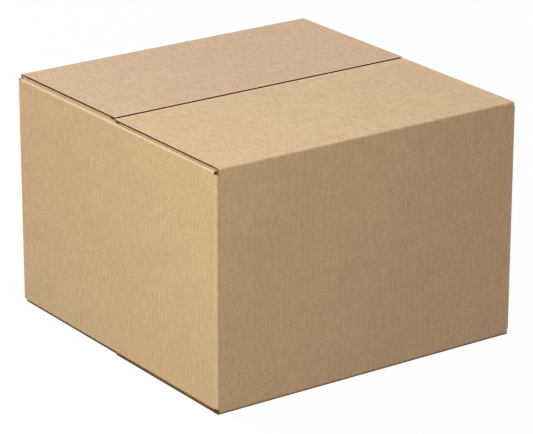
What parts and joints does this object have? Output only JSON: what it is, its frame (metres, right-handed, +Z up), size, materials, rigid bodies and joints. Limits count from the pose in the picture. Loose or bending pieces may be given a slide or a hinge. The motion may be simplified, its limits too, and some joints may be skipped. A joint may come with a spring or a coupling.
{
  "type": "cardboard box",
  "caption": "Closed square carton of single-wall corrugated board with outer flaps that meet at a centre seam and hinge open.",
  "frame": {"origin": "middle of the underside, on the surface that the carton stands on", "axes": "+Z up; -Y is the front panel, the right-hand panel in the picture; the top seam runs along X"},
  "size_m": [0.389, 0.389, 0.27],
  "materials": {
    "kraft_board": "uncoated kraft liner, matte"
  },
  "bodies": {
    "carton": {"carton_body": "kraft_board"},
    "front_flap": {"front_top_flap": "kraft_board"},
    "back_flap": {"back_top_flap": "kraft_board"}
  },
  "joints": [
    {"name": "front_flap_fold", "type": "hinge", "parent": "carton", "child": "front_flap", "pos_m": [0, -0.1945, 0.27], "axis": [1, 0, 0], "range_deg": [0, 265]},
    {"name": "back_flap_fold", "type": "hinge", "parent": "carton", "child": "back_flap", "pos_m": [0, 0.1945, 0.27], "axis": [-1, 0, 0], "range_deg": [0, 265]}
  ]
}
